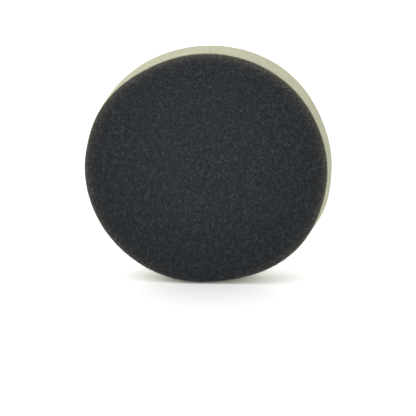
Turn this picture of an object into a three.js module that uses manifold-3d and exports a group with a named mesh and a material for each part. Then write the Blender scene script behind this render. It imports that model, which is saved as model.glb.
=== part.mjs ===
// A 150 mm foam polishing pad with a loop-fabric backing, standing on its rim.
//
// Units are millimetres, +Z is up. The pad's own axis lies along Y: the loop backing looks
// along -Y and the foam's working face along +Y. The origin is on the floor, under the middle
// of the pad. The foam, the bonding film and the fabric are three separate laminated layers.

import * as THREE from 'three';
import { mergeVertices } from 'three/addons/utils/BufferGeometryUtils.js';
import Module from 'manifold-3d';

// ---- Driving dimensions ---------------------------------------------------------------

const padDiameter = 150;          // across the widest ring of the foam
const foamThickness = 25;
const workingEdgeRadius = 11;     // round between the foam's wall and its working face
const wallFlare = 0.65;           // radius lost from the widest ring to the laminated face
const cutEdgeRadius = 0.5;        // soft corner where the wall meets the laminated face

const fabricThickness = 1.6;      // knitted ground with its loop pile
const fabricMargin = 0.35;        // foam that shows outside the fabric, all round
const fabricEdgeRadius = 0.7;     // pile laid over at the cut edge

const filmThickness = 0.4;        // hot-melt film that bonds the fabric to the foam
const filmMargin = 0.4;           // film set back from the fabric's edge, all round

const layerGap = 0.3;             // clearance between two laminated layers
const contactHalfWidth = 9.5;     // half of the patch that the soft foam flattens on the floor

const roundSegments = 144;        // sides of every turned piece
const edgeSteps = 10;             // straight steps in the working-edge round
const smallEdgeSteps = 3;         // straight steps in the small edge rounds

// ---- Sizes that follow ----------------------------------------------------------------

const padRadius = padDiameter / 2;
const foamFrontRadius = padRadius - wallFlare;
const fabricRadius = foamFrontRadius - fabricMargin;
const filmRadius = fabricRadius - filmMargin;

const padThickness = fabricThickness + filmThickness + foamThickness + 2 * layerGap;
const fabricFront = -padThickness / 2;
const fabricBack = fabricFront + fabricThickness;
const filmFront = fabricBack + layerGap;
const filmBack = filmFront + filmThickness;
const foamFront = filmBack + layerGap;
const foamBack = foamFront + foamThickness;

// The axis sits as high as the widest ring is when its lowest part is flattened.
const axisHeight = Math.sqrt(padRadius ** 2 - contactHalfWidth ** 2);

// ---- Turned shapes --------------------------------------------------------------------

// Points along an arc in the (radius, depth) half plane, from one angle to another.
function arc(centreRadius, centreDepth, radius, from, to, steps) {
  const points = [];
  for (let i = 0; i <= steps; i += 1) {
    const angle = from + (to - from) * i / steps;
    const across = centreRadius + radius * Math.cos(angle);
    const along = centreDepth + radius * Math.sin(angle);
    points.push(new THREE.Vector2(across, along));
  }
  return points;
}

function turned(outline) {
  const start = new THREE.Vector2(0, outline[0].y);
  const end = new THREE.Vector2(0, outline[outline.length - 1].y);
  return new THREE.LatheGeometry([start, ...outline, end], roundSegments);
}

// The foam: flat laminated face, a wall that flares to the widest ring, a large soft round
// and the flat working face.
function foamShape() {
  const front = arc(
    foamFrontRadius - cutEdgeRadius, foamFront + cutEdgeRadius, cutEdgeRadius,
    -Math.PI / 2, 0, smallEdgeSteps,
  );
  const back = arc(
    padRadius - workingEdgeRadius, foamBack - workingEdgeRadius, workingEdgeRadius,
    0, Math.PI / 2, edgeSteps,
  );
  return turned([...front, ...back]);
}

function filmShape() {
  return turned([
    new THREE.Vector2(filmRadius, filmFront),
    new THREE.Vector2(filmRadius, filmBack),
  ]);
}

// The fabric: its outer face is rounded over at the cut edge, where the pile lies down.
function fabricShape() {
  const front = arc(
    fabricRadius - fabricEdgeRadius, fabricFront + fabricEdgeRadius, fabricEdgeRadius,
    -Math.PI / 2, 0, smallEdgeSteps,
  );
  return turned([...front, new THREE.Vector2(fabricRadius, fabricBack)]);
}

// ---- Solids ---------------------------------------------------------------------------

const wasm = await Module();
wasm.setup();

function toSolid(geometry) {
  const bare = geometry.clone();
  bare.deleteAttribute('normal');
  bare.deleteAttribute('uv');
  const merged = mergeVertices(bare, 1e-5);
  const index = merged.index.array;
  const triangles = [];
  for (let i = 0; i < index.length; i += 3) {
    const [a, b, c] = [index[i], index[i + 1], index[i + 2]];
    const collapsed = a === b || b === c || c === a;
    if (!collapsed) triangles.push(a, b, c);
  }
  return new wasm.Manifold(new wasm.Mesh({
    numProp: 3,
    vertProperties: new Float32Array(merged.attributes.position.array),
    triVerts: new Uint32Array(triangles),
  }));
}

function toGeometry(solid) {
  const mesh = solid.getMesh();
  const geometry = new THREE.BufferGeometry();
  geometry.setAttribute('position', new THREE.BufferAttribute(mesh.vertProperties, 3));
  geometry.setIndex(new THREE.BufferAttribute(mesh.triVerts, 1));
  geometry.computeVertexNormals();
  return geometry;
}

// Everything below the floor, in the pad's own frame, whose axis is at height zero.
const belowFloor = toSolid(
  new THREE.BoxGeometry(2 * padDiameter, 2 * padDiameter, padDiameter)
    .translate(0, 0, -axisHeight - padDiameter / 2),
);

function standing(geometry) {
  return toGeometry(toSolid(geometry).subtract(belowFloor));
}

// ---- The pad --------------------------------------------------------------------------

const finishes = {
  foam: new THREE.MeshStandardMaterial({ color: 0xc6c3a8, roughness: 0.95, metalness: 0 }),
  film: new THREE.MeshStandardMaterial({ color: 0xd8d5c4, roughness: 0.5, metalness: 0 }),
  loopFabric: new THREE.MeshStandardMaterial({ color: 0x32353a, roughness: 1, metalness: 0 }),
};

function layer(name, geometry, finish) {
  const mesh = new THREE.Mesh(standing(geometry), finish);
  mesh.name = name;
  return mesh;
}

const pad = new THREE.Group();
pad.name = 'polishing_pad';
pad.position.z = axisHeight;
pad.add(layer('foam_body', foamShape(), finishes.foam));
pad.add(layer('bond_film', filmShape(), finishes.film));
pad.add(layer('loop_fabric', fabricShape(), finishes.loopFabric));
pad.updateMatrixWorld(true);

export default pad;
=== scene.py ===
import math
import random

import bmesh
import bpy
import numpy as np
from mathutils import Matrix, Vector, noise
from mathutils.kdtree import KDTree


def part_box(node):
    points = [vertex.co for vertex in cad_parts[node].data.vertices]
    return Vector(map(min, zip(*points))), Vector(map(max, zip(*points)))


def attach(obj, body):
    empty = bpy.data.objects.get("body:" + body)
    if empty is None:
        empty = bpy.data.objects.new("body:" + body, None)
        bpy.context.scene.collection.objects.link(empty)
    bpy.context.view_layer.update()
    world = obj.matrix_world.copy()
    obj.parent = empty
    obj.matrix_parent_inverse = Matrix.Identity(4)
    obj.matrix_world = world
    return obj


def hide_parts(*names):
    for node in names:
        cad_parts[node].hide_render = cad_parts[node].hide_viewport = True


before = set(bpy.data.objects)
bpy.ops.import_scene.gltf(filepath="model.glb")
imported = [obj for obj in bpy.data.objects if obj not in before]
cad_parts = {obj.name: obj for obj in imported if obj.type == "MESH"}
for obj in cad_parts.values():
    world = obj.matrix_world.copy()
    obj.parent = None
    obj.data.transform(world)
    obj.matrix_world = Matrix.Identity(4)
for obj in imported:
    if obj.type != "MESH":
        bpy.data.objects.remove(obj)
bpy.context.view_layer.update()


# ---- Studio ---------------------------------------------------------------------------
# A white table in front of a brightly lit white sweep, so more light comes from behind the
# pad than from the front. A softbox hangs above and a soft spot lights the fabric's middle.
MM = 0.001
floor_size = 4.0
floor_white = (0.94, 0.94, 0.94, 1)
sweep_strength = 1.60
front_strength = 1.00
softbox_size = 0.8
softbox_place = Vector((-0.38, -0.35, 1.05))
softbox_power = 3.3
spot_place = Vector((-0.20, -1.65, 0.60))
spot_aim = Vector((-0.004, 0, 0.086))
spot_width = math.radians(5.9)
spot_bulb = 0.03
spot_power = 48.0
pad_middle = Vector((0, 0, 0.075))
view_target = Vector((0.58, -13.4, 50.63)) * MM
view_distance = 994.6 * MM
view_azimuth = math.radians(2.985)
view_elevation = math.radians(19.80)
view_lens = 140.05
view_sensor = 36


def add_node(tree, kind, **settings):
    """A shader node with its settings."""
    node = tree.nodes.new(kind)
    for name, value in settings.items():
        setattr(node, name, value)
    return node


def aim_light(light, place, target):
    """Puts a light in the scene, turned to a target."""
    lamp = bpy.data.objects.new(light.name, light)
    lamp.location = place
    lamp.rotation_euler = (target - place).to_track_quat("-Z", "Y").to_euler()
    scene.collection.objects.link(lamp)


scene = bpy.context.scene
scene.view_settings.view_transform = "Standard"

floor_mesh = bmesh.new()
bmesh.ops.create_grid(floor_mesh, x_segments=1, y_segments=1, size=floor_size / 2)
floor_data = bpy.data.meshes.new("table_top")
floor_mesh.to_mesh(floor_data)
floor_mesh.free()
floor = bpy.data.objects.new("table_top", floor_data)
scene.collection.objects.link(floor)

table_paint = bpy.data.materials.new("white_table")
table_paint.use_nodes = True
table_shader = table_paint.node_tree.nodes["Principled BSDF"]
table_shader.inputs["Base Color"].default_value = floor_white
table_shader.inputs["Roughness"].default_value = 0.9
table_shader.inputs["Specular IOR Level"].default_value = 0.1
floor_data.materials.append(table_paint)

sweep = bpy.data.worlds.new("white_sweep")
sweep.use_nodes = True
sweep_tree = sweep.node_tree
sweep_way = add_node(sweep_tree, "ShaderNodeTexCoord")
sweep_parts = add_node(sweep_tree, "ShaderNodeSeparateXYZ")
sweep_range = add_node(sweep_tree, "ShaderNodeMapRange", interpolation_type="SMOOTHSTEP")
sweep_range.inputs["From Min"].default_value = -1
sweep_range.inputs["From Max"].default_value = 1
sweep_range.inputs["To Min"].default_value = front_strength
sweep_range.inputs["To Max"].default_value = sweep_strength
sweep_tree.links.new(sweep_way.outputs["Generated"], sweep_parts.inputs["Vector"])
sweep_tree.links.new(sweep_parts.outputs["Y"], sweep_range.inputs["Value"])
sweep_light = sweep_tree.nodes["Background"]
sweep_light.inputs["Color"].default_value = (1, 1, 1, 1)
sweep_tree.links.new(sweep_range.outputs["Result"], sweep_light.inputs["Strength"])
scene.world = sweep

softbox = bpy.data.lights.new("softbox", "AREA")
softbox.size = softbox_size
softbox.energy = softbox_power
aim_light(softbox, softbox_place, pad_middle)

front_spot = bpy.data.lights.new("front_spot", "SPOT")
front_spot.spot_size = spot_width
front_spot.spot_blend = 1.0
front_spot.shadow_soft_size = spot_bulb
front_spot.energy = spot_power
aim_light(front_spot, spot_place, spot_aim)

view_from = Vector((
    math.sin(view_azimuth) * math.cos(view_elevation),
    -math.cos(view_azimuth) * math.cos(view_elevation),
    math.sin(view_elevation),
))
camera_data = bpy.data.cameras.new("camera")
camera_data.lens = view_lens
camera_data.sensor_width = view_sensor
camera_data.clip_start = 0.01
camera = bpy.data.objects.new("camera", camera_data)
camera.location = view_target + view_from * view_distance
camera.rotation_euler = (-view_from).to_track_quat("-Z", "Y").to_euler()
scene.collection.objects.link(camera)
scene.camera = camera


# ---- Foam body ------------------------------------------------------------------------
# One disc of open-cell polyurethane foam, die-cut from a sheet and rounded at its working
# edge. The soft sheet gives under the cutter, so the wall leans to one side and the edge
# swells and dips round the pad. Where the pad stands on its rim, the foam settles flat.
foam_low, foam_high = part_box("foam_body")
film_low, film_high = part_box("bond_film")
fabric_low, fabric_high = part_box("loop_fabric")
pad_radius = (foam_high.x - foam_low.x) / 2
axis_height = foam_high.z - pad_radius
# How much smaller the wall's radius is at the fabric, and how far it leans over its depth.
wall_flare = 0.65 * MM
wall_lean = 1.92 * MM
working_edge_radius = 11 * MM
working_edge_steps = 16
cut_edge_radius = 0.5 * MM
cut_edge_steps = 4
turn_steps = 240
# Each swell or dip: where round the edge, half its width, both in degrees, and how far it
# stands out at the fabric and at the pad's widest ring, in millimetres.
edge_swells = (
    (321, 22, 1.40, 1.48),
    (339, 13, -0.25, 1.20),
    (24, 14, -0.35, -0.75),
    (96, 22, -0.70, -0.85),
    (120, 18, -1.30, -0.30),
    (167, 9, -0.35, -0.35),
    (278, 17, -1.36, 0),
)
edge_spread = 0.12 * MM
# The swells die away towards the pad's middle as this power of the radius.
edge_fade = 4
# How far the foam's front is melted into the film.
melt_depth = 0.15 * MM
foam_front = film_high.y - melt_depth
foam_back = foam_high.y
widest_depth = foam_back - working_edge_radius
foam_voxel = 0.42 * MM
tear_height = 0.05 * MM
tear_size = 0.9 * MM
swell_height = 0.10 * MM
swell_size = 14 * MM
# How softly the foam bends where it settles on the floor.
settle = 0.3 * MM
weld_distance = 0.001 * MM


def wall_share(depth):
    """0 at the fabric and 1 from the widest ring on."""
    return min(1, max(0, (depth - foam_front) / (widest_depth - foam_front)))


def edge_wave(angle, depth):
    """How far the cut edge stands out from a true circle, at an angle and a depth."""
    share = wall_share(depth)
    wave = edge_spread
    for place, width, at_fabric, at_widest in edge_swells:
        away = (math.degrees(angle) - place + 180) % 360 - 180
        height = at_fabric * (1 - share) + at_widest * share
        wave += height * MM * math.exp(-(away / width) ** 2)
    return wave


def lean_shift(depth):
    """How far to the side the leaning cut puts the ring at this depth.

    It is 0 halfway between the fabric and the widest ring.
    """
    return wall_lean * (wall_share(depth) - 0.5)


def arc_points(centre_radius, centre_depth, radius, start, end, steps):
    """Points in the (radius, depth) half plane along an arc."""
    for i in range(steps + 1):
        angle = start + (end - start) * i / steps
        yield (
            centre_radius + radius * math.cos(angle),
            centre_depth + radius * math.sin(angle),
        )


def turn_outline(outline, steps):
    """A closed body turned round the Y axis from (radius, depth) points that end on it."""
    body = bmesh.new()
    corners = [body.verts.new((radius, depth, 0)) for radius, depth in outline]
    edges = [body.edges.new(pair) for pair in zip(corners, corners[1:])]
    bmesh.ops.spin(
        body, geom=corners + edges, cent=(0, 0, 0), axis=(0, 1, 0),
        angle=math.tau, steps=steps, use_merge=True,
    )
    bmesh.ops.remove_doubles(body, verts=body.verts, dist=weld_distance)
    bmesh.ops.recalc_face_normals(body, faces=body.faces)
    return body


def new_piece(name, body, material):
    """Puts a bmesh into the scene as a smooth-shaded piece of the pad."""
    data = bpy.data.meshes.new(name)
    body.to_mesh(data)
    body.free()
    for face in data.polygons:
        face.use_smooth = True
    data.materials.append(material)
    piece = bpy.data.objects.new(name, data)
    scene.collection.objects.link(piece)
    return piece


def new_group(name, inputs, outputs):
    """A shader node group with named sockets, and the nodes that bring them in and out."""
    group = bpy.data.node_groups.new(name, "ShaderNodeTree")
    kinds = {"float": "NodeSocketFloat", "vector": "NodeSocketVector"}
    for label, kind in inputs:
        group.interface.new_socket(label, in_out="INPUT", socket_type=kinds[kind])
    for label, kind in outputs:
        group.interface.new_socket(label, in_out="OUTPUT", socket_type=kinds[kind])
    return group, group.nodes.new("NodeGroupInput"), group.nodes.new("NodeGroupOutput")


# Soft patches of slightly lighter and darker tone, 1 on average, as in any dyed or foamed
# batch.
patches, patches_in, patches_out = new_group(
    "tone_patches",
    [("Place", "vector"), ("Size", "float"), ("Strength", "float")],
    [("Tone", "float")],
)
patch_noise = add_node(patches, "ShaderNodeTexNoise")
patch_noise.inputs["Detail"].default_value = 3
patch_per_metre = add_node(patches, "ShaderNodeMath", operation="DIVIDE")
patch_per_metre.inputs[0].default_value = 1
patch_centre = add_node(patches, "ShaderNodeMath", operation="SUBTRACT")
patch_centre.inputs[1].default_value = 0.5
patch_scaled = add_node(patches, "ShaderNodeMath", operation="MULTIPLY_ADD")
patch_scaled.inputs[2].default_value = 1
patches.links.new(patches_in.outputs["Size"], patch_per_metre.inputs[1])
patches.links.new(patch_per_metre.outputs[0], patch_noise.inputs["Scale"])
patches.links.new(patches_in.outputs["Place"], patch_noise.inputs["Vector"])
patches.links.new(patch_noise.outputs["Fac"], patch_centre.inputs[0])
patches.links.new(patch_centre.outputs[0], patch_scaled.inputs[0])
patches.links.new(patches_in.outputs["Strength"], patch_scaled.inputs[1])
patches.links.new(patch_scaled.outputs[0], patches_out.inputs["Tone"])


# Cut open foam cells: thin pale struts round openings that the foam's colour darkens as
# painted shade inside the pores. Two sizes of cell lie in each other, and each cell is open
# by its own amount. A strut's crest and foot are measured from its middle line, as shares of a
# cell.
strut_crest = 0.02
strut_foot = 0.20
large_cells_per_small = 0.42
large_cell_spread = 0.9
large_cell_closed = 0.5
large_cell_edge = 0.16
cells, cells_in, cells_out = new_group(
    "foam_cells",
    [("Place", "vector"), ("Cell Size", "float")],
    [("Opening", "float"), ("Height", "float")],
)
cell_per_metre = add_node(cells, "ShaderNodeMath", operation="DIVIDE")
cell_per_metre.inputs[0].default_value = 1
cell_warp = add_node(cells, "ShaderNodeTexNoise")
cell_warp.inputs["Detail"].default_value = 1
cell_warp_centre = add_node(cells, "ShaderNodeVectorMath", operation="SUBTRACT")
cell_warp_centre.inputs[1].default_value = (0.5, 0.5, 0.5)
cell_warp_size = add_node(cells, "ShaderNodeVectorMath", operation="SCALE")
cell_warped = add_node(cells, "ShaderNodeVectorMath", operation="ADD")
cell_opening = add_node(cells, "ShaderNodeMath", operation="MAXIMUM")
cell_height = add_node(cells, "ShaderNodeMath", operation="SUBTRACT")
cell_height.inputs[0].default_value = 1
cells.links.new(cells_in.outputs["Cell Size"], cell_per_metre.inputs[1])
cells.links.new(cell_per_metre.outputs[0], cell_warp.inputs["Scale"])
cells.links.new(cells_in.outputs["Place"], cell_warp.inputs["Vector"])
cells.links.new(cell_warp.outputs["Color"], cell_warp_centre.inputs[0])
cells.links.new(cell_warp_centre.outputs[0], cell_warp_size.inputs[0])
cells.links.new(cells_in.outputs["Cell Size"], cell_warp_size.inputs["Scale"])
cells.links.new(cells_in.outputs["Place"], cell_warped.inputs[0])
cells.links.new(cell_warp_size.outputs[0], cell_warped.inputs[1])
# Small cells: a net of struts, with each cell between them open by its own amount.
cell_net = add_node(cells, "ShaderNodeTexVoronoi", feature="DISTANCE_TO_EDGE")
cell_strut = add_node(cells, "ShaderNodeMapRange", interpolation_type="SMOOTHSTEP")
cell_strut.inputs["From Min"].default_value = strut_crest
cell_strut.inputs["From Max"].default_value = strut_foot
cell_small = add_node(cells, "ShaderNodeTexVoronoi", feature="F1")
cell_chance = add_node(cells, "ShaderNodeSeparateColor")
cell_amount = add_node(cells, "ShaderNodeMath", operation="MULTIPLY")
cells.links.new(cell_warped.outputs[0], cell_net.inputs["Vector"])
cells.links.new(cell_warped.outputs[0], cell_small.inputs["Vector"])
cells.links.new(cell_per_metre.outputs[0], cell_net.inputs["Scale"])
cells.links.new(cell_per_metre.outputs[0], cell_small.inputs["Scale"])
cells.links.new(cell_net.outputs["Distance"], cell_strut.inputs["Value"])
cells.links.new(cell_small.outputs["Color"], cell_chance.inputs[0])
cells.links.new(cell_chance.outputs[0], cell_amount.inputs[0])
cells.links.new(cell_strut.outputs["Result"], cell_amount.inputs[1])
cells.links.new(cell_amount.outputs[0], cell_opening.inputs[0])
# Large cells: round openings, most of them closed.
cell_scale = add_node(cells, "ShaderNodeMath", operation="MULTIPLY")
cell_scale.inputs[1].default_value = large_cells_per_small
cell_large = add_node(cells, "ShaderNodeTexVoronoi", feature="F1")
cell_luck = add_node(cells, "ShaderNodeSeparateColor")
cell_radius = add_node(cells, "ShaderNodeMath", operation="MULTIPLY_ADD")
cell_radius.inputs[1].default_value = large_cell_spread
cell_radius.inputs[2].default_value = -large_cell_closed
cell_inside = add_node(cells, "ShaderNodeMath", operation="SUBTRACT")
cell_round = add_node(cells, "ShaderNodeMapRange", interpolation_type="SMOOTHSTEP")
cell_round.inputs["From Max"].default_value = large_cell_edge
cells.links.new(cell_per_metre.outputs[0], cell_scale.inputs[0])
cells.links.new(cell_warped.outputs[0], cell_large.inputs["Vector"])
cells.links.new(cell_scale.outputs[0], cell_large.inputs["Scale"])
cells.links.new(cell_large.outputs["Color"], cell_luck.inputs[0])
cells.links.new(cell_luck.outputs[0], cell_radius.inputs[0])
cells.links.new(cell_radius.outputs[0], cell_inside.inputs[0])
cells.links.new(cell_large.outputs["Distance"], cell_inside.inputs[1])
cells.links.new(cell_inside.outputs[0], cell_round.inputs["Value"])
cells.links.new(cell_round.outputs["Result"], cell_opening.inputs[1])
cells.links.new(cell_opening.outputs[0], cell_height.inputs[1])
cells.links.new(cell_opening.outputs[0], cells_out.inputs["Opening"])
cells.links.new(cell_height.outputs[0], cells_out.inputs["Height"])


# The struts carry the foam's own sage. The openings' and pinholes' colours are painted shade
# inside the pores and burst cells.
foam_strut_colour = (0.422, 0.414, 0.306, 1)
foam_opening_shade_colour = (0.233, 0.223, 0.149, 1)
foam_pinhole_shade_colour = (0.150, 0.138, 0.090, 1)
foam_cell_size = 0.42 * MM
foam_cell_depth = 0.12 * MM
foam_patch_size = 18 * MM
foam_patch_strength = 0.16
foam_finish = bpy.data.materials.new("sage_foam")
foam_finish.use_nodes = True
foam_tree = foam_finish.node_tree
foam_shader = foam_tree.nodes["Principled BSDF"]
foam_shader.inputs["Specular IOR Level"].default_value = 0.15
foam_place = add_node(foam_tree, "ShaderNodeTexCoord")
foam_cells = add_node(foam_tree, "ShaderNodeGroup", node_tree=cells)
foam_cells.inputs["Cell Size"].default_value = foam_cell_size
foam_patches = add_node(foam_tree, "ShaderNodeGroup", node_tree=patches)
foam_patches.inputs["Size"].default_value = foam_patch_size
foam_patches.inputs["Strength"].default_value = foam_patch_strength
foam_hollow = add_node(foam_tree, "ShaderNodeAttribute", attribute_name="pinhole")
# Painted shade: the openings between the struts are coloured darker.
foam_opening_shade_mix = add_node(foam_tree, "ShaderNodeMix", data_type="RGBA")
foam_opening_shade_mix.inputs["A"].default_value = foam_strut_colour
foam_opening_shade_mix.inputs["B"].default_value = foam_opening_shade_colour
foam_hollow_edge = add_node(foam_tree, "ShaderNodeMapRange", interpolation_type="SMOOTHSTEP")
foam_hollow_edge.inputs["From Min"].default_value = 0.25
foam_hollow_edge.inputs["From Max"].default_value = 0.75
# Painted shade: each pinhole is darkened towards its deepest point.
foam_pinhole_shade_mix = add_node(foam_tree, "ShaderNodeMix", data_type="RGBA")
foam_pinhole_shade_mix.inputs["B"].default_value = foam_pinhole_shade_colour
foam_toned = add_node(foam_tree, "ShaderNodeVectorMath", operation="SCALE")
# The cut struts shine a little, and the hollows between them don't.
foam_matt = add_node(foam_tree, "ShaderNodeMapRange")
foam_matt.inputs["To Min"].default_value = 0.88
foam_matt.inputs["To Max"].default_value = 1.00
foam_bump = add_node(foam_tree, "ShaderNodeBump")
foam_bump.inputs["Strength"].default_value = 0.6
foam_bump.inputs["Distance"].default_value = foam_cell_depth
foam_tree.links.new(foam_place.outputs["Object"], foam_cells.inputs["Place"])
foam_tree.links.new(foam_place.outputs["Object"], foam_patches.inputs["Place"])
foam_tree.links.new(foam_cells.outputs["Opening"], foam_opening_shade_mix.inputs["Factor"])
foam_tree.links.new(foam_opening_shade_mix.outputs["Result"], foam_pinhole_shade_mix.inputs["A"])
foam_tree.links.new(foam_hollow.outputs["Fac"], foam_hollow_edge.inputs["Value"])
foam_tree.links.new(foam_hollow_edge.outputs["Result"], foam_pinhole_shade_mix.inputs["Factor"])
foam_tree.links.new(foam_pinhole_shade_mix.outputs["Result"], foam_toned.inputs[0])
foam_tree.links.new(foam_patches.outputs["Tone"], foam_toned.inputs["Scale"])
foam_tree.links.new(foam_toned.outputs[0], foam_shader.inputs["Base Color"])
foam_tree.links.new(foam_cells.outputs["Opening"], foam_matt.inputs["Value"])
foam_tree.links.new(foam_matt.outputs["Result"], foam_shader.inputs["Roughness"])
foam_tree.links.new(foam_cells.outputs["Height"], foam_bump.inputs["Height"])
foam_tree.links.new(foam_bump.outputs["Normal"], foam_shader.inputs["Normal"])

front_radius = pad_radius - wall_flare
foam_outline = [
    (0, foam_front),
    *arc_points(
        front_radius - cut_edge_radius, foam_front + cut_edge_radius, cut_edge_radius,
        -math.pi / 2, 0, cut_edge_steps,
    ),
    *arc_points(
        pad_radius - working_edge_radius, widest_depth, working_edge_radius,
        0, math.pi / 2, working_edge_steps,
    ),
    (0, foam_back),
]
foam = new_piece("foam_disc", turn_outline(foam_outline, turn_steps), foam_finish)
foam_remesh = foam.modifiers.new("even_faces", "REMESH")
foam_remesh.mode = "VOXEL"
foam_remesh.voxel_size = foam_voxel
foam_smooth = foam.modifiers.new("no_steps", "SMOOTH")
foam_smooth.factor = 0.5
foam_smooth.iterations = 10
foam_even = bpy.data.meshes.new_from_object(
    foam.evaluated_get(bpy.context.evaluated_depsgraph_get())
)
foam.modifiers.clear()
foam.data = foam_even

# The front is glued under the film and never seen, so one flat face does for its middle.
glued_facing = 0.9
glued_depth = 0.1 * MM
glued_margin = 4 * MM
foam_body = bmesh.new()
foam_body.from_mesh(foam_even)
glued = [
    face for face in foam_body.faces
    if face.normal.y < -glued_facing
    and abs(face.calc_center_median().y - foam_front) < glued_depth
    and face.calc_center_median().length < front_radius - glued_margin
]
bmesh.ops.delete(foam_body, geom=glued, context="FACES")
rims = [edge for edge in foam_body.edges if edge.is_boundary]
bmesh.ops.holes_fill(foam_body, edges=rims)
foam_body.normal_update()
for vert in foam_body.verts:
    at = vert.co.copy()
    across = math.hypot(at.x, at.z)
    tear = noise.noise(at / tear_size) * tear_height
    swell = noise.noise(at / swell_size) * swell_height
    vert.co += vert.normal * (tear + swell)
    if across > 0:
        outward = Vector((at.x / across, 0, at.z / across))
        wave = edge_wave(math.atan2(at.z, at.x), at.y)
        vert.co += outward * wave * (across / pad_radius) ** edge_fade
    vert.co.x += lean_shift(at.y)
    vert.co.z += axis_height
    vert.co.z = (vert.co.z + math.hypot(vert.co.z, settle)) / 2

# Burst cells: a deep pinhole every square centimetre or so, as the sheet has all through it.
pinhole_seed = 5
pinhole_count = 320
pinhole_radius = 0.75 * MM
pinhole_sizes = (0.6, 1.2)
pinhole_depth = 0.55 * MM
pick = random.Random(pinhole_seed)
foam_body.normal_update()
foam_body.verts.ensure_lookup_table()
# The depth of each pinhole is kept for its painted shade.
hollow = foam_body.verts.layers.float.new("pinhole")
near_verts = KDTree(len(foam_body.verts))
for vert in foam_body.verts:
    near_verts.insert(vert.co, vert.index)
near_verts.balance()
for _ in range(pinhole_count):
    centre = foam_body.verts[pick.randrange(len(foam_body.verts))]
    radius = pinhole_radius * pick.uniform(*pinhole_sizes)
    inward = -centre.normal
    for _, index, distance in near_verts.find_range(centre.co, radius):
        depth = math.cos(distance / radius * math.pi / 2) ** 2
        vert = foam_body.verts[index]
        vert.co += inward * depth * pinhole_depth * (radius / pinhole_radius)
        vert[hollow] = max(vert[hollow], depth)
foam_body.to_mesh(foam.data)
foam_body.free()
for face in foam.data.polygons:
    face.use_smooth = True

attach(foam, "root")
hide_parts("foam_body")


# ---- Bond film ------------------------------------------------------------------------
# A hot-melt film that glues the fabric to the foam. It shows only as a thin line at the cut
# edge, slightly uneven where the melt crept out.
# How far the melt soaks into the fabric, overlaps the foam and is squeezed out at the edge.
film_soak = 0.2 * MM
film_overlap = 0.05 * MM
film_squeeze = 0.25 * MM
film_front = fabric_high.y - film_soak
film_back = foam_front + film_overlap
film_radius = (film_high.x - film_low.x) / 2 + film_squeeze
film_steps = 480
film_creep = 0.12 * MM
creep_size = 3 * MM
film_colour = (0.52, 0.50, 0.42)
film_patch_size = 2.5 * MM
film_patch_strength = 0.35
film_ripple = 0.3 * MM
film_finish = bpy.data.materials.new("bond_film")
film_finish.use_nodes = True
film_tree = film_finish.node_tree
film_shader = film_tree.nodes["Principled BSDF"]
film_place = add_node(film_tree, "ShaderNodeTexCoord")
film_patches = add_node(film_tree, "ShaderNodeGroup", node_tree=patches)
film_patches.inputs["Size"].default_value = film_patch_size
film_patches.inputs["Strength"].default_value = film_patch_strength
film_toned = add_node(film_tree, "ShaderNodeVectorMath", operation="SCALE")
film_toned.inputs[0].default_value = film_colour
# The melt is rippled, and a little glossier in its hollows.
film_matt = add_node(film_tree, "ShaderNodeMapRange")
film_matt.inputs["From Min"].default_value = 0.9
film_matt.inputs["From Max"].default_value = 1.1
film_matt.inputs["To Min"].default_value = 0.35
film_matt.inputs["To Max"].default_value = 0.60
film_bump = add_node(film_tree, "ShaderNodeBump")
film_bump.inputs["Strength"].default_value = 0.5
film_bump.inputs["Distance"].default_value = film_ripple
film_tree.links.new(film_patches.outputs["Tone"], film_matt.inputs["Value"])
film_tree.links.new(film_matt.outputs["Result"], film_shader.inputs["Roughness"])
film_tree.links.new(film_patches.outputs["Tone"], film_bump.inputs["Height"])
film_tree.links.new(film_bump.outputs["Normal"], film_shader.inputs["Normal"])
film_tree.links.new(film_place.outputs["Object"], film_patches.inputs["Place"])
film_tree.links.new(film_patches.outputs["Tone"], film_toned.inputs["Scale"])
film_tree.links.new(film_toned.outputs[0], film_shader.inputs["Base Color"])

film_body = turn_outline(
    [(0, film_front), (film_radius, film_front), (film_radius, film_back), (0, film_back)],
    film_steps,
)
for vert in film_body.verts:
    across = math.hypot(vert.co.x, vert.co.z)
    if across > 0:
        creep = film_creep * noise.noise(Vector((vert.co.x, 0, vert.co.z)) / creep_size)
        wave = edge_wave(math.atan2(vert.co.z, vert.co.x), foam_front)
        grow = (across + wave + creep) / across
        vert.co.x *= grow
        vert.co.z *= grow
    vert.co.x += lean_shift(foam_front)
    vert.co.z += axis_height
film = new_piece("bond_line", film_body, film_finish)
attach(film, "root")
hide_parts("bond_film")


# ---- Loop fabric: knitted ground ------------------------------------------------------
# A warp-knitted nylon ground, bonded flat to the foam and cut with it. Its front carries the
# pile, so it shows only as the floor between the loops, its dark nylon painted darker still as
# the shade there, and as the fabric's cut edge.
fabric_radius = (fabric_high.x - fabric_low.x) / 2
ground_thickness = 0.55 * MM
ground_back = fabric_high.y
ground_front = ground_back - ground_thickness
ground_lift = 0.1 * MM
ground_grid = 160
stitch_size = 0.85 * MM
courses_per_wale = 1.4
stitch_depth = 0.12 * MM
knit_height = 0.05 * MM
# The ground's own dark nylon, painted darker than the loops as the shade that falls between
# them.
ground_nylon_and_shade_colour = (0.013, 0.015, 0.018)
ground_patch_size = 1.2 * MM
ground_patch_strength = 1.2
# Painted highlight: a warm light ring painted along the fabric's cut edge for the light its
# fibres catch, left off at the bottom, where the pad stands in the floor's shade.
edge_highlight_colour = (0.038, 0.035, 0.023)
edge_highlight_width = 1.8 * MM
ground_edge_highlight_gain = 1.4
standing_angle = math.radians(-90)
standing_width = math.radians(26)


def painted_edge_highlight(angle, to_edge):
    """Painted highlight along the fabric's cut edge, fading inwards, left off where the pad
    stands in the floor's shade.
    """
    in_floor_shade = math.exp(-((angle - standing_angle) / standing_width) ** 2)
    return (1 - in_floor_shade) * math.exp(-to_edge / edge_highlight_width)


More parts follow.
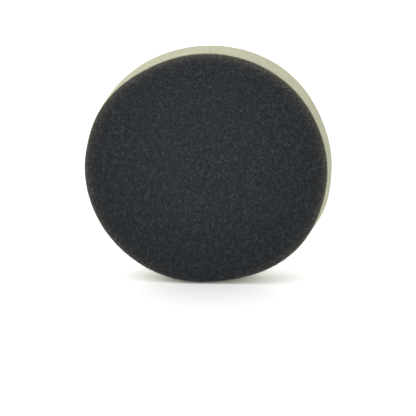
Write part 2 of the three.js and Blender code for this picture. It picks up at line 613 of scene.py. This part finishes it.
ground_finish = bpy.data.materials.new("knitted_ground")
ground_finish.use_nodes = True
ground_tree = ground_finish.node_tree
ground_shader = ground_tree.nodes["Principled BSDF"]
ground_shader.inputs["Specular IOR Level"].default_value = 0.2
ground_place = add_node(ground_tree, "ShaderNodeTexCoord")
ground_patches = add_node(ground_tree, "ShaderNodeGroup", node_tree=patches)
ground_patches.inputs["Size"].default_value = ground_patch_size
ground_patches.inputs["Strength"].default_value = ground_patch_strength
ground_toned = add_node(ground_tree, "ShaderNodeVectorMath", operation="SCALE")
ground_toned.inputs[0].default_value = ground_nylon_and_shade_colour
# Painted highlight: the edge ring read from the mesh and added onto the ground's colour.
ground_edge_light = add_node(ground_tree, "ShaderNodeAttribute", attribute_name="painted_edge_highlight")
ground_highlit = add_node(ground_tree, "ShaderNodeVectorMath", operation="MULTIPLY_ADD")
ground_highlit.inputs[1].default_value = edge_highlight_colour
# Wales, the columns of stitches, run up the cloth and courses run across it. A wave texture
# of scale 1 repeats every tau / 20 of a metre.
wales_scale = math.tau / 20 / stitch_size
ground_wales = add_node(ground_tree, "ShaderNodeTexWave", bands_direction="X")
ground_wales.inputs["Scale"].default_value = wales_scale
ground_courses = add_node(ground_tree, "ShaderNodeTexWave", bands_direction="Z")
ground_courses.inputs["Scale"].default_value = wales_scale * courses_per_wale
ground_knit = add_node(ground_tree, "ShaderNodeMath", operation="MULTIPLY")
# The crowns of the stitches are rubbed a little smoother.
ground_matt = add_node(ground_tree, "ShaderNodeMapRange")
ground_matt.inputs["To Min"].default_value = 0.95
ground_matt.inputs["To Max"].default_value = 0.75
ground_bump = add_node(ground_tree, "ShaderNodeBump")
ground_bump.inputs["Strength"].default_value = 0.8
ground_bump.inputs["Distance"].default_value = stitch_depth
ground_tree.links.new(ground_place.outputs["Object"], ground_patches.inputs["Place"])
ground_tree.links.new(ground_patches.outputs["Tone"], ground_toned.inputs["Scale"])
ground_tree.links.new(ground_edge_light.outputs["Vector"], ground_highlit.inputs[0])
ground_tree.links.new(ground_toned.outputs[0], ground_highlit.inputs[2])
ground_tree.links.new(ground_highlit.outputs[0], ground_shader.inputs["Base Color"])
ground_tree.links.new(ground_place.outputs["Object"], ground_wales.inputs["Vector"])
ground_tree.links.new(ground_place.outputs["Object"], ground_courses.inputs["Vector"])
ground_tree.links.new(ground_wales.outputs["Fac"], ground_knit.inputs[0])
ground_tree.links.new(ground_courses.outputs["Fac"], ground_knit.inputs[1])
ground_tree.links.new(ground_knit.outputs[0], ground_matt.inputs["Value"])
ground_tree.links.new(ground_matt.outputs["Result"], ground_shader.inputs["Roughness"])
ground_tree.links.new(ground_knit.outputs[0], ground_bump.inputs["Height"])
ground_tree.links.new(ground_bump.outputs["Normal"], ground_shader.inputs["Normal"])

ground_body = bmesh.new()
bmesh.ops.create_grid(ground_body, x_segments=ground_grid, y_segments=ground_grid, size=1)
ground_highlight_layer = ground_body.verts.layers.float.new("painted_edge_highlight")
for vert in ground_body.verts:
    # A square net drawn out to a disc, so that its faces stay even right across it.
    u, v = vert.co.x, vert.co.y
    x = u * math.sqrt(1 - v * v / 2)
    z = v * math.sqrt(1 - u * u / 2)
    angle = math.atan2(z, x)
    across = math.hypot(x, z)
    grow = fabric_radius + edge_wave(angle, foam_front) * across ** edge_fade
    to_edge = fabric_radius * (1 - across)
    # Painted highlight near the cut edge, stored on each point.
    vert[ground_highlight_layer] = ground_edge_highlight_gain * painted_edge_highlight(angle, to_edge)
    knit = knit_height * noise.noise(Vector((x, 0, z)) * fabric_radius / stitch_size)
    vert.co = Vector((
        x * grow + lean_shift(foam_front),
        ground_back - ground_lift + knit,
        z * grow + axis_height,
    ))
bmesh.ops.recalc_face_normals(ground_body, faces=ground_body.faces)
ground = new_piece("loop_ground", ground_body, ground_finish)
if ground.data.polygons[0].normal.y > 0:
    ground.data.flip_normals()
ground_wall = ground.modifiers.new("thickness", "SOLIDIFY")
ground_wall.thickness = ground_thickness
ground_wall.offset = 1
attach(ground, "root")
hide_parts("loop_fabric")


# ---- Loop fabric: pile ----------------------------------------------------------------
# Loops of fine nylon filament raised from the ground and brushed, which the hooks of a
# backing plate catch. They tangle in small tufts, swirl with the brushing and fall outwards
# at the cut edge.
loop_pitch = 0.61 * MM
loop_jitter = 0.5
loop_thickness = 0.15 * MM
loop_span = 0.70 * MM
loop_height = 0.85 * MM
loop_sides = 3
loop_bends = 4
loop_sizes = (0.7, 1.2)
loop_tones = (0.8, 1.2)
loop_darkest = 0.15
loop_root = 0.05 * MM
# Strength of the painted edge highlight on the loops.
loop_edge_highlight_gain = 5.4
pile_seed = 11
pile_parts = 6
# Tufts in three sizes: each one's size and weight, and a shift that keeps them apart.
tuft_size = 1.9 * MM
tuft_layers = (
    (0.5, 1.4, Vector((0, 0, 0))),
    (1, 1.3, Vector((7, 0, 3))),
    (2, 0.6, Vector((2, 0, 9))),
)
tuft_contrast = 1.36
tuft_rise = 0.3
swirl_size = 3.5 * MM
swirl_turn = math.pi / 2
swirl_shift = Vector((4, 4, 4))
nap_lean = math.radians(26)
nap_scatter = math.radians(14)
edge_lean = math.radians(30)
edge_band = 2.5 * MM
edge_gap = 0.22 * MM
edge_spare = 2 * MM
pile_colour = (0.0268, 0.0332, 0.0398)
pile_finish = bpy.data.materials.new("nylon_loops")
pile_finish.use_nodes = True
pile_tree = pile_finish.node_tree
pile_shader = pile_tree.nodes["Principled BSDF"]
pile_shader.inputs["Specular IOR Level"].default_value = 0.35
pile_shader.inputs["Sheen Weight"].default_value = 0.15
pile_shader.inputs["Sheen Roughness"].default_value = 0.5
pile_tone = add_node(pile_tree, "ShaderNodeAttribute", attribute_name="loop_tone")
pile_toned = add_node(pile_tree, "ShaderNodeVectorMath", operation="SCALE")
pile_toned.inputs[0].default_value = pile_colour
# Painted highlight: each loop's share of the edge ring, added onto its colour.
pile_edge_light = add_node(pile_tree, "ShaderNodeAttribute", attribute_name="loop_highlight")
pile_highlit = add_node(pile_tree, "ShaderNodeVectorMath", operation="MULTIPLY_ADD")
pile_highlit.inputs[1].default_value = edge_highlight_colour
# The fuller, lighter tufts are a little glossier.
pile_matt = add_node(pile_tree, "ShaderNodeMapRange")
pile_matt.inputs["From Max"].default_value = 2
pile_matt.inputs["To Min"].default_value = 0.72
pile_matt.inputs["To Max"].default_value = 0.52
pile_tree.links.new(pile_tone.outputs["Fac"], pile_toned.inputs["Scale"])
pile_tree.links.new(pile_tone.outputs["Fac"], pile_matt.inputs["Value"])
pile_tree.links.new(pile_matt.outputs["Result"], pile_shader.inputs["Roughness"])
pile_tree.links.new(pile_edge_light.outputs["Vector"], pile_highlit.inputs[0])
pile_tree.links.new(pile_toned.outputs[0], pile_highlit.inputs[2])
pile_tree.links.new(pile_highlit.outputs[0], pile_shader.inputs["Base Color"])

# One loop: a filament bent into an arch that stands along -Y, its feet in the ground.
loop_body = bmesh.new()
filament = bmesh.ops.create_circle(
    loop_body, segments=loop_sides, radius=loop_thickness / 2,
    matrix=Matrix.Translation((loop_span / 2, 0, 0)) @ Matrix.Rotation(math.pi / 2, 4, "X"),
)["verts"]
bmesh.ops.spin(
    loop_body, geom=filament + list({e for v in filament for e in v.link_edges}),
    cent=(0, 0, 0), axis=(0, 0, 1), angle=-math.pi, steps=loop_bends,
)
bmesh.ops.scale(loop_body, vec=(1, loop_height / (loop_span / 2), 1), verts=loop_body.verts)
bmesh.ops.holes_fill(loop_body, edges=[e for e in loop_body.edges if e.is_boundary])
bmesh.ops.recalc_face_normals(loop_body, faces=loop_body.faces)
loop_body.verts.ensure_lookup_table()
loop_corners = np.array([(*vert.co, 1) for vert in loop_body.verts])
loop_faces = [[v.index for v in f.verts] for f in loop_body.faces]
loop_body.free()


def tufts(place):
    """How light and tall the tuft at a place is, about 0 on average."""
    return sum(
        weight * noise.noise(place / (share * tuft_size) + shift)
        for share, weight, shift in tuft_layers
    )


pick = random.Random(pile_seed)
places = []
tones = []
edge_highlights = []
count = math.ceil((fabric_radius + edge_spare) / loop_pitch)
for course in range(-count, count + 1):
    for wale in range(-count, count + 1):
        x = (wale + pick.uniform(-loop_jitter, loop_jitter)) * loop_pitch
        z = (course + pick.uniform(-loop_jitter, loop_jitter)) * loop_pitch
        spin = pick.uniform(-math.pi, math.pi)
        lean = nap_lean + pick.gauss(0, nap_scatter)
        size = pick.uniform(*loop_sizes)
        tone = pick.uniform(*loop_tones)
        angle = math.atan2(z, x)
        to_edge = fabric_radius + edge_wave(angle, foam_front) - math.hypot(x, z)
        if to_edge < edge_gap:
            continue
        at = Vector((x, 0, z))
        tuft = tufts(at)
        swirl = noise.noise(at / swirl_size + swirl_shift) * swirl_turn
        nap = Vector((math.sin(swirl), 0, -math.cos(swirl)))
        fall = max(0, 1 - (to_edge - edge_gap) / edge_band) ** 2
        outward = Vector((math.cos(angle), 0, math.sin(angle)))
        lean_way = (nap * (1 - fall) + outward * fall).normalized()
        tilt = lean * (1 - fall) + edge_lean * fall
        turn = Matrix.Rotation(tilt, 4, lean_way.cross(Vector((0, 1, 0))))
        turn = turn @ Matrix.Rotation(spin, 4, "Y")
        grow = Matrix.Diagonal((size, size * (1 + tuft_rise * tuft), size, 1))
        root = Vector((x + lean_shift(foam_front), ground_front + loop_root, z + axis_height))
        places.append(Matrix.Translation(root) @ turn @ grow)
        tones.append(max(loop_darkest, tone * (1 + tuft_contrast * tuft)))
        # Painted highlight near the cut edge, left off where the pad stands in the floor's
        # shade.
        edge_highlights.append(loop_edge_highlight_gain * painted_edge_highlight(angle, to_edge))

pile_pieces = []
loops_per_part = math.ceil(len(places) / pile_parts)
for start in range(0, len(places), loops_per_part):
    batch = np.array(places[start:start + loops_per_part])
    corners = np.einsum("nij,kj->nki", batch, loop_corners)[:, :, :3].reshape(-1, 3)
    faces = [
        [index + i * len(loop_corners) for index in face]
        for i in range(len(batch)) for face in loop_faces
    ]
    name = f"loop_pile_{len(pile_pieces) + 1}"
    pile_data = bpy.data.meshes.new(name)
    pile_data.from_pydata(corners.tolist(), [], faces)
    pile_data.polygons.foreach_set("use_smooth", [True] * len(faces))
    for label, values in (("loop_tone", tones), ("loop_highlight", edge_highlights)):
        shares = np.repeat(values[start:start + loops_per_part], len(loop_corners))
        pile_data.attributes.new(label, "FLOAT", "POINT").data.foreach_set(
            "value", shares.astype(np.float32),
        )
    pile_data.materials.append(pile_finish)
    pile = bpy.data.objects.new(name, pile_data)
    scene.collection.objects.link(pile)
    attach(pile, "root")
    pile_pieces.append(pile)
